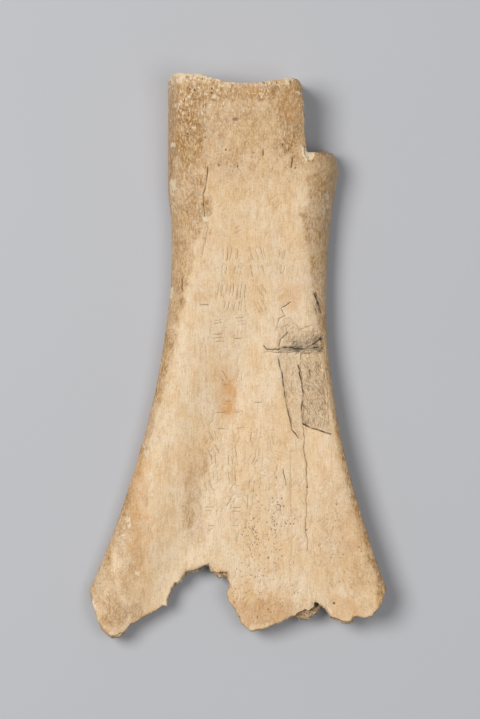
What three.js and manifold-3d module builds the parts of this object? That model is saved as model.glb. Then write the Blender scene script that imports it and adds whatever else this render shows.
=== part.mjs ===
// The shoulder blade of an ox, prepared for divination and broken off across the blade.
// It lies on its sawn back with the smooth rib side up. Millimetres, +Z up, +Y from the broken
// blade to the socket end, +X towards the thin border. The origin is on the ground, mid-length.
import * as THREE from "three";
import { mergeVertices } from "three/addons/utils/BufferGeometryUtils.js";
import Module from "manifold-3d";

const wasm = await Module();
wasm.setup();

// Plan of the bone. A share "up" is 0 at the tip of the longest prong and 1 at the socket end.
const LENGTH = 270;
const BLADE_WIDTH = 143.2; // where the blade is widest
const BLADE_LEFT = BLADE_WIDTH * 0.4986; // centre line to the thick border there
const BLADE_RIGHT = BLADE_WIDTH - BLADE_LEFT; // centre line to the thin border there
const NECK_LEFT = 31.9; // centre line to the thick border at its narrowest
const NECK_RIGHT = 42.3; // centre line to the thin border at its narrowest
const SOCKET_LEFT = 33.7; // centre line to the thick border at the socket end
const SHOULDER_RIGHT = 48.3; // centre line to the thin border just below the sawn corner
const CORNER_RIGHT = 30.6; // centre line to the upright face of the sawn corner, at the socket end
const CORNER_FOOT_RIGHT = 32.4; // centre line to the same face where it meets the level one
const SOCKET_ROUND = 5; // corner radius of the socket end, seen from above
const SOCKET_SLANT = 2.3; // how much lower the socket end is at the sawn corner
const WIDEST_UP = 0.085;
const WAIST_UP = 0.593; // where the thin border starts to flare
const LEFT_FLARE_UP = 0.685; // where the thick border starts to flare
const SOCKET_SWELL = [0.725, 0.805]; // where the neck widens to the socket end
const SHOULDER_UP = 0.83;
const CORNER_UP = 0.862; // level face of the sawn corner
const LEFT_FLARE_POWER = 1.8;
const RIGHT_FLARE_POWER = 1.85;
const SHOULDER_ROUNDING = 2.6;
const CORNER_FILLET = 1.5;

// Height of the rib side over the ground and thickness of the plate: [share up, millimetres].
const FACE_HEIGHT = [
  [-0.1, 13.2], [0, 13], [0.28, 14], [0.5, 17], [0.72, 23], [0.87, 28.5], [0.95, 31.5], [1.1, 37],
];
const PLATE = [
  [-0.1, 6.2], [0, 6.3], [0.28, 7], [0.5, 9], [0.62, 12.5], [0.72, 18], [0.8, 23], [0.87, 28],
  [0.92, 32.5], [1.1, 39],
];

// The blade is twisted: how much higher the thin border lies than the thick one.
const TWIST = [[0, 7.5], [0.3, 6.5], [0.5, 2], [0.64, 0]];

// The thick border is a rounded roll with a valley inside it, and the thin border a lesser one.
const ROLL_LEFT = [[0, 10], [0.5, 10], [0.75, 14], [0.9, 9], [1.1, 8]];
const ROLL_RIGHT = [[0, 6], [0.45, 7], [0.6, 12], [0.72, 16], [0.85, 16], [1.1, 13]];
// The widest line's place: the share of the thickness over it.
const OVER_WIDEST = [[0.4, 0.5], [0.58, 0.74], [0.75, 0.84], [0.9, 0.78], [1.1, 0.74]];
const BAND_HEIGHT = 2.2;
const BAND_INSET = 14;
const BAND_WIDTH = 12;
const VALLEY_DEPTH = 1.6;
const VALLEY_INSET = 37;
const VALLEY_WIDTH = 10;
const LIP_HEIGHT = 0.8;
const LIP_INSET = 8;
const LIP_WIDTH = 6;
const BAND_FADE = [0.42, 0.68]; // where band, valley and lip die out towards the neck
const CORNER_EASE = 4.5; // how far the rib side falls towards the sawn corner's upright face
const CORNER_EASE_WIDTH = 16;
const CORNER_EASE_UP = [CORNER_UP - 0.01, CORNER_UP + 0.05];
const LEFT_EXTRA = 9.25; // how much thicker the plate is under the thick border
const LEFT_EXTRA_INSET = 9;
const LEFT_EXTRA_WIDTH = 11;
const RIGHT_EXTRA = 3.5;
const EXTRA_FADE = [0.5, 0.75]; // where both die out towards the neck

// Sides are half round on the blade and squarer at the sawn socket end.
const ROUND_SIDE = 2;
const SQUARE_SIDE = 4;
const SQUARED = [0.72, 0.88];

// What is left of the spine on the back: a ridge, sawn off by a plane that climbs towards the neck.
const SPINE_RIDGE = 12;
const SPINE_WIDTH = 7.5;
const SPINE_FOOT = 0.72; // share across the bone at the broken end
const SPINE_HEAD = 0.61; // share across the bone at the neck
const SPINE_END_UP = 0.74;
const SPINE_FADE = [0.62, SPINE_END_UP];
const SAW_RISE = 0.02; // millimetres up for each millimetre along
const SAW_START_UP = 0.04;

// The half socket that the back saw cut left, a shallow dish in the end.
const DISH = { x: 34, y: 14, z: 24 };
const DISH_CENTRE = { x: 3, beyond: 3.9, z: 14 };

// Divination hollows on the back: a long groove, with a round pit beside it towards the spine.
const GROOVE = { x: 3, y: 8.5, z: 3.2 };
const PIT = { x: 4.6, y: 4.6, z: 2.6 };
const PIT_OFFSET = 5.2;
const THICK_COLUMN = { across: 0.26, inwards: 1, ups: [0.22, 0.32, 0.42, 0.52, 0.62] };
const THIN_COLUMN = { across: 0.88, inwards: -1, ups: [0.3, 0.41, 0.52] };

// Fineness of the faceted solid.
const RINGS = 42;
const RING_STEPS = 30;
const FIRST_RING_UP = -0.05;
const LAST_RING_UP = 1.04;
const BLANKET_CELL = 4;
const HOLLOW_SEGMENTS = 12;
const DISH_SEGMENTS = 24;
const ROUND_SEGMENTS = 6;
const FAR = 2 * LENGTH;

// The broken edge from the thick border's corner to the thin border's:
// [share across the widest blade, share up].
const BREAK = [
  [-0.002, 0.099], [0.001, 0.078], [0.021, 0.039], [0.061, 0.007], [0.082, 0], [0.108, 0.005],
  [0.129, 0.014], [0.142, 0.025], [0.263, 0.057], [0.273, 0.078], [0.296, 0.099], [0.33, 0.117],
  [0.393, 0.131], [0.43, 0.108], [0.459, 0.112], [0.466, 0.099], [0.463, 0.087], [0.483, 0.057],
  [0.517, 0.025], [0.54, 0.014], [0.566, 0.014], [0.673, 0.035], [0.743, 0.034], [0.777, 0.051],
  [0.793, 0.048], [0.81, 0.039], [0.834, 0.037], [0.85, 0.03], [0.874, 0.027], [0.894, 0.039],
  [0.944, 0.041], [0.977, 0.062], [0.99, 0.078], [0.998, 0.092], [0.99, 0.105],
];

// Places where the upper layer broke further in than the spongy layer below, in the same shares.
const LEDGE_DEPTH = 3.4;
const LEDGE = [
  [0.668, 0.03], [0.706, 0.044], [0.753, 0.055], [0.756, 0.066], [0.781, 0.052], [0.79, 0.02],
  [0.7, 0.01],
];
const CHIP_DEPTH = 2.4;
const CHIP = [[0.404, 0.118], [0.436, 0.115], [0.452, 0.12], [0.462, 0.117], [0.468, 0.098], [0.41, 0.098]];

// Flakes lost from the rib side: [share across from border to border, share up].
const DEEP_FLAKE_DEPTH = 1.1;
const DEEP_FLAKE = [
  [0.824, 0.484], [0.83, 0.459], [0.825, 0.406], [0.818, 0.381], [0.886, 0.372], [0.953, 0.363],
  [0.954, 0.42], [0.945, 0.486], [0.95, 0.507], [0.834, 0.509],
];
const LONG_FLAKE_DEPTH = 0.6;
const LONG_FLAKE = [
  [0.7, 0.5], [0.716, 0.477], [0.742, 0.411], [0.769, 0.371], [0.79, 0.36], [0.812, 0.378],
  [0.822, 0.42], [0.822, 0.484], [0.83, 0.512], [0.72, 0.512],
];

const clamp01 = (t) => Math.min(1, Math.max(0, t));
const smooth = (t) => clamp01(t) ** 2 * (3 - 2 * clamp01(t));
const rise = ([from, to], up) => smooth((up - from) / (to - from));
const mix = (a, b, t) => a + (b - a) * t;
const bump = (distance, centre, width) => Math.exp(-(((distance - centre) / width) ** 2));
const yAt = (up) => (up - 0.5) * LENGTH;
const upAt = (y) => y / LENGTH + 0.5;

// Value at a share up, smoothly between the stations of a profile.
function along(stations, up) {
  if (up <= stations[0][0]) return stations[0][1];
  const last = stations.length - 1;
  if (up >= stations[last][0]) return stations[last][1];
  const slope = (i) => {
    const a = stations[Math.max(i - 1, 0)];
    const b = stations[Math.min(i + 1, last)];
    return (b[1] - a[1]) / (b[0] - a[0]);
  };
  const i = stations.findIndex((s) => s[0] > up) - 1;
  const [u0, v0] = stations[i];
  const [u1, v1] = stations[i + 1];
  const span = u1 - u0;
  const t = (up - u0) / span;
  return (
    v0 * (1 + 2 * t) * (1 - t) ** 2 +
    span * slope(i) * t * (1 - t) ** 2 +
    v1 * t * t * (3 - 2 * t) +
    span * slope(i + 1) * t * t * (t - 1)
  );
}

function leftBorder(up) {
  const flare = Math.max(0, (LEFT_FLARE_UP - up) / (LEFT_FLARE_UP - WIDEST_UP)) ** LEFT_FLARE_POWER;
  const swell = (SOCKET_LEFT - NECK_LEFT) * rise(SOCKET_SWELL, up);
  return -(NECK_LEFT + (BLADE_LEFT - NECK_LEFT) * flare + swell);
}

function rightBorder(up) {
  const flare = Math.max(0, (WAIST_UP - up) / (WAIST_UP - WIDEST_UP)) ** RIGHT_FLARE_POWER;
  const shoulder = clamp01((up - WAIST_UP) / (SHOULDER_UP - WAIST_UP)) ** 2;
  const rounding = clamp01((up - SHOULDER_UP) / (CORNER_UP - SHOULDER_UP)) ** 2;
  return (
    NECK_RIGHT +
    (BLADE_RIGHT - NECK_RIGHT) * flare +
    (SHOULDER_RIGHT - NECK_RIGHT) * shoulder -
    SHOULDER_ROUNDING * rounding
  );
}

// Places in plan, from the shares that the outlines above are given in.
const between = (borderUp, across) => mix(leftBorder(borderUp), rightBorder(borderUp), across);
const acrossBone = ([across, up]) => new THREE.Vector2(between(up, across), yAt(up));
const acrossBlade = ([across, up]) => new THREE.Vector2(between(WIDEST_UP, across), yAt(up));

// The spine runs straight from the break to the neck.
function spineX(up) {
  const foot = acrossBone([SPINE_FOOT, SAW_START_UP]).x;
  const head = acrossBone([SPINE_HEAD, SPINE_END_UP]).x;
  return mix(foot, head, (up - SAW_START_UP) / (SPINE_END_UP - SAW_START_UP));
}

// The rib side before the borders round it off.
function face(x, up) {
  const fromLeft = x - leftBorder(up);
  const fromRight = rightBorder(up) - x;
  const across = clamp01(fromLeft / (fromLeft + fromRight));
  const blade = 1 - rise(BAND_FADE, up);
  const nearCorner = clamp01(1 - (CORNER_RIGHT - x) / CORNER_EASE_WIDTH) ** 2 * rise(CORNER_EASE_UP, up);
  return (
    along(FACE_HEIGHT, up) +
    along(TWIST, up) * across ** 2 +
    blade * BAND_HEIGHT * bump(fromLeft, BAND_INSET, BAND_WIDTH) -
    blade * VALLEY_DEPTH * bump(fromLeft, VALLEY_INSET, VALLEY_WIDTH) +
    blade * LIP_HEIGHT * bump(fromRight, LIP_INSET, LIP_WIDTH) -
    CORNER_EASE * nearCorner
  );
}

// Thickness from the rib side to the back before the borders round it off.
function thickness(x, up) {
  const fromLeft = x - leftBorder(up);
  const fromRight = rightBorder(up) - x;
  const blade = 1 - rise(EXTRA_FADE, up);
  const spine = 1 - rise(SPINE_FADE, up);
  return (
    along(PLATE, up) +
    blade * LEFT_EXTRA * bump(fromLeft, LEFT_EXTRA_INSET, LEFT_EXTRA_WIDTH) +
    blade * RIGHT_EXTRA * bump(fromRight, LIP_INSET, LIP_WIDTH) +
    spine * SPINE_RIDGE * bump(x, spineX(up), SPINE_WIDTH)
  );
}

// How far a surface has come out of a border's roll, 0 at the border and 1 inside it.
function rolled(x, up, power) {
  const share = (distance, radius) => (1 - clamp01(1 - distance / radius) ** power) ** (1 / power);
  return (
    share(x - leftBorder(up), along(ROLL_LEFT, up)) * share(rightBorder(up) - x, along(ROLL_RIGHT, up))
  );
}

// Heights of the two sides of the bone at a place in plan.
function sides(x, up) {
  const top = face(x, up);
  const thick = thickness(x, up);
  const drop = thick * along(OVER_WIDEST, up);
  const backPower = mix(ROUND_SIDE, SQUARE_SIDE, rise(SQUARED, up));
  return {
    top: top - drop * (1 - rolled(x, up, ROUND_SIDE)),
    back: top - thick + (thick - drop) * (1 - rolled(x, up, backPower)),
  };
}

// A closed geometry as a solid that can be cut and joined.
function solidOf(geometry) {
  const bare = geometry.clone();
  bare.deleteAttribute("normal");
  bare.deleteAttribute("uv");
  const merged = mergeVertices(bare, 1e-4);
  return new wasm.Manifold(
    new wasm.Mesh({
      numProp: 3,
      vertProperties: new Float32Array(merged.attributes.position.array),
      triVerts: new Uint32Array(merged.index.array),
    }),
  );
}

function geometryOf(solid) {
  const mesh = solid.getMesh();
  const geometry = new THREE.BufferGeometry();
  geometry.setAttribute("position", new THREE.BufferAttribute(new Float32Array(mesh.vertProperties), 3));
  geometry.setIndex(new THREE.BufferAttribute(new Uint32Array(mesh.triVerts), 1));
  geometry.computeVertexNormals();
  return geometry;
}

// The whole blade as rings from below the break to above the socket end, closed by a fan at each end.
function blade() {
  const ups = Array.from({ length: RINGS + 1 }, (_, i) => mix(FIRST_RING_UP, LAST_RING_UP, i / RINGS));
  const positions = [];
  for (const up of ups) {
    const left = leftBorder(up);
    const right = rightBorder(up);
    for (let i = 0; i < 2 * RING_STEPS; i++) {
      const turn = (Math.PI * i) / RING_STEPS;
      const x = mix(left, right, (1 - Math.cos(turn)) / 2);
      const { top, back } = sides(x, up);
      positions.push(x, yAt(up), i <= RING_STEPS ? top : back);
    }
  }
  const ring = 2 * RING_STEPS;
  const index = [];
  for (let r = 0; r + 1 < ups.length; r++) {
    for (let i = 0; i < ring; i++) {
      const a = r * ring + i;
      const b = r * ring + ((i + 1) % ring);
      index.push(a, b, a + ring, b, b + ring, a + ring);
    }
  }
  const lastRing = (ups.length - 1) * ring;
  for (let i = 1; i < RING_STEPS; i++) {
    const top = i;
    const back = ring - i;
    const nextTop = i + 1;
    const nextBack = ring - i - 1;
    if (nextTop !== nextBack) {
      index.push(top, back, nextTop, nextTop, back, nextBack);
      index.push(lastRing + top, lastRing + nextTop, lastRing + back);
      index.push(lastRing + nextTop, lastRing + nextBack, lastRing + back);
    } else {
      index.push(top, back, nextTop);
      index.push(lastRing + top, lastRing + nextTop, lastRing + back);
    }
  }
  index.push(0, ring - 1, 1);
  index.push(lastRing, lastRing + 1, lastRing + ring - 1);
  const geometry = new THREE.BufferGeometry();
  geometry.setAttribute("position", new THREE.Float32BufferAttribute(positions, 3));
  geometry.setIndex(index);
  return solidOf(geometry);
}

// A plan shape stood up as a prism that passes through the bone.
function prism(shape) {
  const settings = { depth: 2 * FAR, bevelEnabled: false, curveSegments: ROUND_SEGMENTS };
  const geometry = new THREE.ExtrudeGeometry(shape, settings);
  return solidOf(geometry.translate(0, 0, -FAR));
}

// All that lies below the broken edge.
function lostBlade() {
  const edge = BREAK.map(acrossBlade);
  const shape = new THREE.Shape([
    new THREE.Vector2(-FAR, edge[0].y),
    ...edge,
    new THREE.Vector2(FAR, edge[edge.length - 1].y),
    new THREE.Vector2(FAR, -LENGTH),
    new THREE.Vector2(-FAR, -LENGTH),
  ]);
  return prism(shape);
}

// All that lies above the socket end, whose two corners are rounded.
function lostEnd() {
  const end = yAt(1);
  const right = end - SOCKET_SLANT;
  const left = leftBorder(1);
  const shape = new THREE.Shape();
  shape.moveTo(-FAR, end - SOCKET_ROUND);
  shape.lineTo(left, end - SOCKET_ROUND);
  shape.quadraticCurveTo(left, end, left + SOCKET_ROUND, end);
  shape.lineTo(CORNER_RIGHT - SOCKET_ROUND, right);
  shape.quadraticCurveTo(CORNER_RIGHT, right, CORNER_RIGHT, right - SOCKET_ROUND);
  shape.lineTo(FAR, right - SOCKET_ROUND);
  shape.lineTo(FAR, LENGTH);
  shape.lineTo(-FAR, LENGTH);
  return prism(shape);
}

// The corner that was sawn off between an upright cut and a level one.
function lostCorner() {
  const level = yAt(CORNER_UP);
  const shape = new THREE.Shape();
  shape.moveTo(CORNER_RIGHT, yAt(1));
  shape.lineTo(CORNER_FOOT_RIGHT, level + CORNER_FILLET);
  shape.quadraticCurveTo(CORNER_FOOT_RIGHT, level, CORNER_FOOT_RIGHT + CORNER_FILLET, level);
  shape.lineTo(FAR, level);
  shape.lineTo(FAR, LENGTH);
  shape.lineTo(CORNER_RIGHT, LENGTH);
  return prism(shape);
}

// Everything over a plan outline down to a depth below the rib side, which follows that side.
function overFace(outline, depth) {
  const box = new THREE.Box2().setFromPoints(outline).expandByScalar(2);
  const size = box.getSize(new THREE.Vector2());
  const centre = box.getCenter(new THREE.Vector2());
  const cells = (length) => Math.max(2, Math.round(length / BLANKET_CELL));
  const blanket = new THREE.BoxGeometry(size.x, size.y, 1, cells(size.x), cells(size.y), 1);
  blanket.translate(centre.x, centre.y, 0);
  const at = blanket.attributes.position;
  for (let i = 0; i < at.count; i++) {
    const high = at.getZ(i) > 0;
    at.setZ(i, high ? FAR : sides(at.getX(i), upAt(at.getY(i))).top - depth);
  }
  return solidOf(blanket).intersect(prism(new THREE.Shape(outline)));
}

// An ellipsoid with the given half sizes.
function ellipsoid(half, segments, x, y, z) {
  const ball = new THREE.SphereGeometry(1, segments, Math.round(segments * 0.6));
  return solidOf(ball.scale(half.x, half.y, half.z).translate(x, y, z));
}

// A block below a plane that climbs along the bone from its broken end.
function underSaw(startY, slope) {
  const block = new THREE.BoxGeometry(2 * FAR, 2 * FAR, FAR);
  block.translate(0, 0, -FAR / 2);
  block.rotateX(Math.atan(slope));
  return solidOf(block.translate(0, startY, 0));
}

// One column of hollows, each a groove and a pit cut into the back.
function hollows(column) {
  const cuts = [];
  for (const up of column.ups) {
    const { x, y } = acrossBone([column.across, up]);
    const pitX = x + column.inwards * PIT_OFFSET;
    cuts.push(ellipsoid(GROOVE, HOLLOW_SEGMENTS, x, y, sides(x, up).back));
    cuts.push(ellipsoid(PIT, HOLLOW_SEGMENTS, pitX, y, sides(pitX, up).back));
  }
  return cuts;
}

function bone() {
  const dishY = yAt(1) + DISH_CENTRE.beyond;
  const beside = (up, side) => new THREE.Vector2(spineX(up) + side * 2 * SPINE_WIDTH, yAt(up));
  const spineStrip = new THREE.Shape([
    beside(FIRST_RING_UP, -1),
    beside(FIRST_RING_UP, 1),
    beside(SPINE_END_UP, 1),
    beside(SPINE_END_UP, -1),
  ]);
  const cuts = [
    underSaw(0, 0),
    underSaw(yAt(SAW_START_UP), SAW_RISE).intersect(prism(spineStrip)),
    lostBlade(),
    lostEnd(),
    lostCorner(),
    ellipsoid(DISH, DISH_SEGMENTS, DISH_CENTRE.x, dishY, DISH_CENTRE.z),
    overFace(LEDGE.map(acrossBlade), LEDGE_DEPTH),
    overFace(CHIP.map(acrossBlade), CHIP_DEPTH),
    overFace(DEEP_FLAKE.map(acrossBone), DEEP_FLAKE_DEPTH),
    overFace(LONG_FLAKE.map(acrossBone), LONG_FLAKE_DEPTH),
    ...hollows(THICK_COLUMN),
    ...hollows(THIN_COLUMN),
  ];
  return cuts.reduce((left, cut) => left.subtract(cut), blade());
}

const boneMaterial = new THREE.MeshStandardMaterial({ color: 0xd9bb94, roughness: 0.62, metalness: 0 });
const scapula = new THREE.Mesh(geometryOf(bone()), boneMaterial);
scapula.name = "ox_scapula";

const group = new THREE.Group();
group.add(scapula);

export default group;
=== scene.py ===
from collections import namedtuple

import bpy
import numpy as np
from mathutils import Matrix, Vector
from mathutils.geometry import delaunay_2d_cdt


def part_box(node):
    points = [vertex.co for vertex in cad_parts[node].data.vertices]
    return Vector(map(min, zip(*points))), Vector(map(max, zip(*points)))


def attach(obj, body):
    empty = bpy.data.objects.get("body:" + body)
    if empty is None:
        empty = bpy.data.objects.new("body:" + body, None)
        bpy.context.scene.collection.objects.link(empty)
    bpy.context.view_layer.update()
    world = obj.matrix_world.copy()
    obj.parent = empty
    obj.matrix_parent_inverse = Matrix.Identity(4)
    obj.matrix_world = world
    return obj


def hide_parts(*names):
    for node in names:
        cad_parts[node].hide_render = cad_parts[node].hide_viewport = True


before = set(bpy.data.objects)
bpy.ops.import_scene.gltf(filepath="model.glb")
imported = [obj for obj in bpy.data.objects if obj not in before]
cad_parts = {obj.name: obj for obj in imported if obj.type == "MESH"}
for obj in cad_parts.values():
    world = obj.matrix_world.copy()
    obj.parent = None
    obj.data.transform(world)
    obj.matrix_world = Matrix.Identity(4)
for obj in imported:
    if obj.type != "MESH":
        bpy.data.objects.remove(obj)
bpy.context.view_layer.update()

# Form of the bone, as in the CAD source. A share "up" is 0 at the longest prong and 1 at the socket.
LENGTH = 270
BLADE_WIDTH = 143.2
BLADE_LEFT = BLADE_WIDTH * 0.4986
BLADE_RIGHT = BLADE_WIDTH - BLADE_LEFT
NECK_LEFT = 31.9
NECK_RIGHT = 42.3
SOCKET_LEFT = 33.7
SHOULDER_RIGHT = 48.3
CORNER_RIGHT = 30.6
CORNER_FOOT_RIGHT = 32.4
SOCKET_ROUND = 5
SOCKET_SLANT = 2.3
WIDEST_UP = 0.085
WAIST_UP = 0.593
LEFT_FLARE_UP = 0.685
SOCKET_SWELL = (0.725, 0.805)
SHOULDER_UP = 0.83
CORNER_UP = 0.862
LEFT_FLARE_POWER = 1.8
RIGHT_FLARE_POWER = 1.85
SHOULDER_ROUNDING = 2.6
CORNER_FILLET = 1.5
FACE_HEIGHT = [
    (-0.1, 13.2), (0, 13), (0.28, 14), (0.5, 17), (0.72, 23), (0.87, 28.5), (0.95, 31.5), (1.1, 37),
]
PLATE = [
    (-0.1, 6.2), (0, 6.3), (0.28, 7), (0.5, 9), (0.62, 12.5), (0.72, 18), (0.8, 23), (0.87, 28),
    (0.92, 32.5), (1.1, 39),
]
TWIST = [(0, 7.5), (0.3, 6.5), (0.5, 2), (0.64, 0)]
ROLL_LEFT = [(0, 10), (0.5, 10), (0.75, 14), (0.9, 9), (1.1, 8)]
ROLL_RIGHT = [(0, 6), (0.45, 7), (0.6, 12), (0.72, 16), (0.85, 16), (1.1, 13)]
OVER_WIDEST = [(0.4, 0.5), (0.58, 0.74), (0.75, 0.84), (0.9, 0.78), (1.1, 0.74)]
BAND_HEIGHT, BAND_INSET, BAND_WIDTH = 2.2, 14, 12
VALLEY_DEPTH, VALLEY_INSET, VALLEY_WIDTH = 1.6, 37, 10
LIP_HEIGHT, LIP_INSET, LIP_WIDTH = 0.8, 8, 6
BAND_FADE = (0.42, 0.68)
CORNER_EASE, CORNER_EASE_WIDTH = 4.5, 16
CORNER_EASE_UP = (CORNER_UP - 0.01, CORNER_UP + 0.05)
LEFT_EXTRA, LEFT_EXTRA_INSET, LEFT_EXTRA_WIDTH = 9.25, 9, 11
RIGHT_EXTRA = 3.5
EXTRA_FADE = (0.5, 0.75)
ROUND_SIDE, SQUARE_SIDE = 2, 4
SQUARED = (0.72, 0.88)
SPINE_RIDGE, SPINE_WIDTH = 12, 7.5
SPINE_FOOT, SPINE_HEAD = 0.72, 0.61
SPINE_END_UP = 0.74
SPINE_FADE = (0.62, SPINE_END_UP)
SAW_RISE = 0.02
SAW_START_UP = 0.04
DISH_HALF = (34, 14, 24)
DISH_CENTRE_X, DISH_BEYOND, DISH_CENTRE_Z = 3, 3.9, 14
GROOVE_HALF = (3, 8.5, 3.2)
PIT_HALF = (4.6, 4.6, 2.6)
PIT_OFFSET = 5.2
THICK_COLUMN = (0.26, 1, (0.22, 0.32, 0.42, 0.52, 0.62))
THIN_COLUMN = (0.88, -1, (0.3, 0.41, 0.52))

# The broken edge from border to border, in pixels of the photograph, finer than in the CAD source.
BREAK = [
    (88, 590), (90, 597), (91, 603), (95, 613), (97, 621), (101, 628), (104, 633), (110, 638), (115, 639),
    (121, 637), (127, 629), (131, 625), (140, 620), (147, 616), (157, 610), (163, 606), (167, 607),
    (168, 600), (170, 594), (172, 592), (172, 589), (174, 588), (175, 585), (178, 585), (181, 582),
    (182, 579), (186, 576), (187, 574), (190, 574), (194, 573), (199, 571), (201, 569), (208, 566),
    (211, 573), (215, 575), (219, 579), (223, 578), (228, 580), (229, 586), (227, 591), (228, 600),
    (236, 612), (241, 624), (247, 629), (250, 632), (259, 631), (268, 628), (280, 623), (293, 617),
    (300, 621), (303, 619), (308, 621), (315, 616), (319, 612), (322, 606), (326, 610), (329, 616),
    (332, 619), (338, 621), (343, 624), (347, 624), (350, 625), (353, 623), (354, 618), (358, 617),
    (365, 618), (372, 616), (379, 607), (383, 600), (386, 592), (388, 584),
]

# The bone's box in the photograph, in pixels, which ties a pixel to a place in plan.
PHOTO_LEFT, PHOTO_RIGHT = 89, 387
PHOTO_TOP, PHOTO_FOOT = 75, 639
PHOTO_WIDTH, PHOTO_HEIGHT = 480, 719
PIXEL = LENGTH / (PHOTO_FOOT - PHOTO_TOP)

# Fineness of the mesh, in millimetres. A grid's row and shake are shares of its step, and an edge is
# sharp from this angle in degrees.
TRACE_STEP = 0.1
OUTLINE_STEP = 0.75
BREAK_STEP = 0.6
FRONT_GRID = 1.05
FRONT_FINE_GRID = 0.6
BACK_GRID = 1.8
LINE_STEP = 0.45
EDGE_STEP = 0.6
SAWN_GRID = 0.8
GRID_ROW = 0.866
GRID_SHAKE = 0.12
CELL = 1.2
TOUCHING = 0.01
WALL_ROWS = 14
SHARP_ANGLE = 55
SEED = 11

# Relief and wear fade out where the bone is thinner than this, in millimetres.
THIN = 4


def clamp01(t):
    return np.clip(t, 0, 1)


def smooth(t):
    return clamp01(t) ** 2 * (3 - 2 * clamp01(t))


def rise(span, up):
    return smooth((up - span[0]) / (span[1] - span[0]))


def mix(a, b, t):
    return a + (b - a) * t


def max_of(layers):
    return np.maximum.reduce(layers)


def bump(distance, centre, width):
    return np.exp(-(((distance - centre) / width) ** 2))


def y_at(up):
    return (up - 0.5) * LENGTH


def up_at(y):
    return y / LENGTH + 0.5


def along(stations, up):
    """Value at a share up, smoothly between the stations of a profile."""
    at, value = np.array(stations, float).T
    before = np.maximum(np.arange(len(at)) - 1, 0)
    after = np.minimum(np.arange(len(at)) + 1, len(at) - 1)
    slope = (value[after] - value[before]) / (at[after] - at[before])
    up = np.clip(up, at[0], at[-1])
    i = np.clip(np.searchsorted(at, up, side="right") - 1, 0, len(at) - 2)
    span = at[i + 1] - at[i]
    t = (up - at[i]) / span
    return (
        value[i] * (1 + 2 * t) * (1 - t) ** 2
        + span * slope[i] * t * (1 - t) ** 2
        + value[i + 1] * t * t * (3 - 2 * t)
        + span * slope[i + 1] * t * t * (t - 1)
    )


def left_border(up):
    flare = np.maximum(0, (LEFT_FLARE_UP - up) / (LEFT_FLARE_UP - WIDEST_UP)) ** LEFT_FLARE_POWER
    swell = (SOCKET_LEFT - NECK_LEFT) * rise(SOCKET_SWELL, up)
    return -(NECK_LEFT + (BLADE_LEFT - NECK_LEFT) * flare + swell)


def right_border(up):
    flare = np.maximum(0, (WAIST_UP - up) / (WAIST_UP - WIDEST_UP)) ** RIGHT_FLARE_POWER
    shoulder = clamp01((up - WAIST_UP) / (SHOULDER_UP - WAIST_UP)) ** 2
    rounding = clamp01((up - SHOULDER_UP) / (CORNER_UP - SHOULDER_UP)) ** 2
    return (
        NECK_RIGHT
        + (BLADE_RIGHT - NECK_RIGHT) * flare
        + (SHOULDER_RIGHT - NECK_RIGHT) * shoulder
        - SHOULDER_ROUNDING * rounding
    )


def across_bone(shares):
    """Places in plan of shares across the bone and up it."""
    across, up = np.array(shares, float).T
    return np.column_stack([mix(left_border(up), right_border(up), across), y_at(up)])


def plan(pixels):
    """Places in plan of pixels of the photograph."""
    x, y = np.array(pixels, float).T
    middle_x, middle_y = (PHOTO_LEFT + PHOTO_RIGHT) / 2, (PHOTO_TOP + PHOTO_FOOT) / 2
    return np.column_stack([(x - middle_x) * PIXEL, (middle_y - y) * PIXEL])


def spine_x(up):
    foot = across_bone([(SPINE_FOOT, SAW_START_UP)])[0, 0]
    head = across_bone([(SPINE_HEAD, SPINE_END_UP)])[0, 0]
    return mix(foot, head, (up - SAW_START_UP) / (SPINE_END_UP - SAW_START_UP))


def insets(x, up):
    """Distances in from the two borders."""
    return x - left_border(up), right_border(up) - x


def face(x, up):
    from_left, from_right = insets(x, up)
    across = clamp01(from_left / (from_left + from_right))
    blade = 1 - rise(BAND_FADE, up)
    near_corner = clamp01(1 - (CORNER_RIGHT - x) / CORNER_EASE_WIDTH) ** 2 * rise(CORNER_EASE_UP, up)
    return (
        along(FACE_HEIGHT, up)
        + along(TWIST, up) * across**2
        + blade * BAND_HEIGHT * bump(from_left, BAND_INSET, BAND_WIDTH)
        - blade * VALLEY_DEPTH * bump(from_left, VALLEY_INSET, VALLEY_WIDTH)
        + blade * LIP_HEIGHT * bump(from_right, LIP_INSET, LIP_WIDTH)
        - CORNER_EASE * near_corner
    )


def thickness(x, up):
    from_left, from_right = insets(x, up)
    blade, spine = 1 - rise(EXTRA_FADE, up), 1 - rise(SPINE_FADE, up)
    return (
        along(PLATE, up)
        + blade * LEFT_EXTRA * bump(from_left, LEFT_EXTRA_INSET, LEFT_EXTRA_WIDTH)
        + blade * RIGHT_EXTRA * bump(from_right, LIP_INSET, LIP_WIDTH)
        + spine * SPINE_RIDGE * bump(x, spine_x(up), SPINE_WIDTH)
    )


def rolled(x, up, power):
    """How far a surface has come out of a border's roll, 0 at the border and 1 inside it."""

    def share(distance, radius):
        return (1 - clamp01(1 - distance / radius) ** power) ** (1 / power)

    return share(x - left_border(up), along(ROLL_LEFT, up)) * share(
        right_border(up) - x, along(ROLL_RIGHT, up)
    )


def back_power(up):
    return mix(ROUND_SIDE, SQUARE_SIDE, rise(SQUARED, up))


def sides(x, up):
    """Heights of the rib side and of the back at a place in plan."""
    top, thick = face(x, up), thickness(x, up)
    drop = thick * along(OVER_WIDEST, up)
    return (
        top - drop * (1 - rolled(x, up, ROUND_SIDE)),
        top - thick + (thick - drop) * (1 - rolled(x, up, back_power(up))),
    )


# Seeded noise, paths and distances.
NOISE_CELLS = 128


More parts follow.
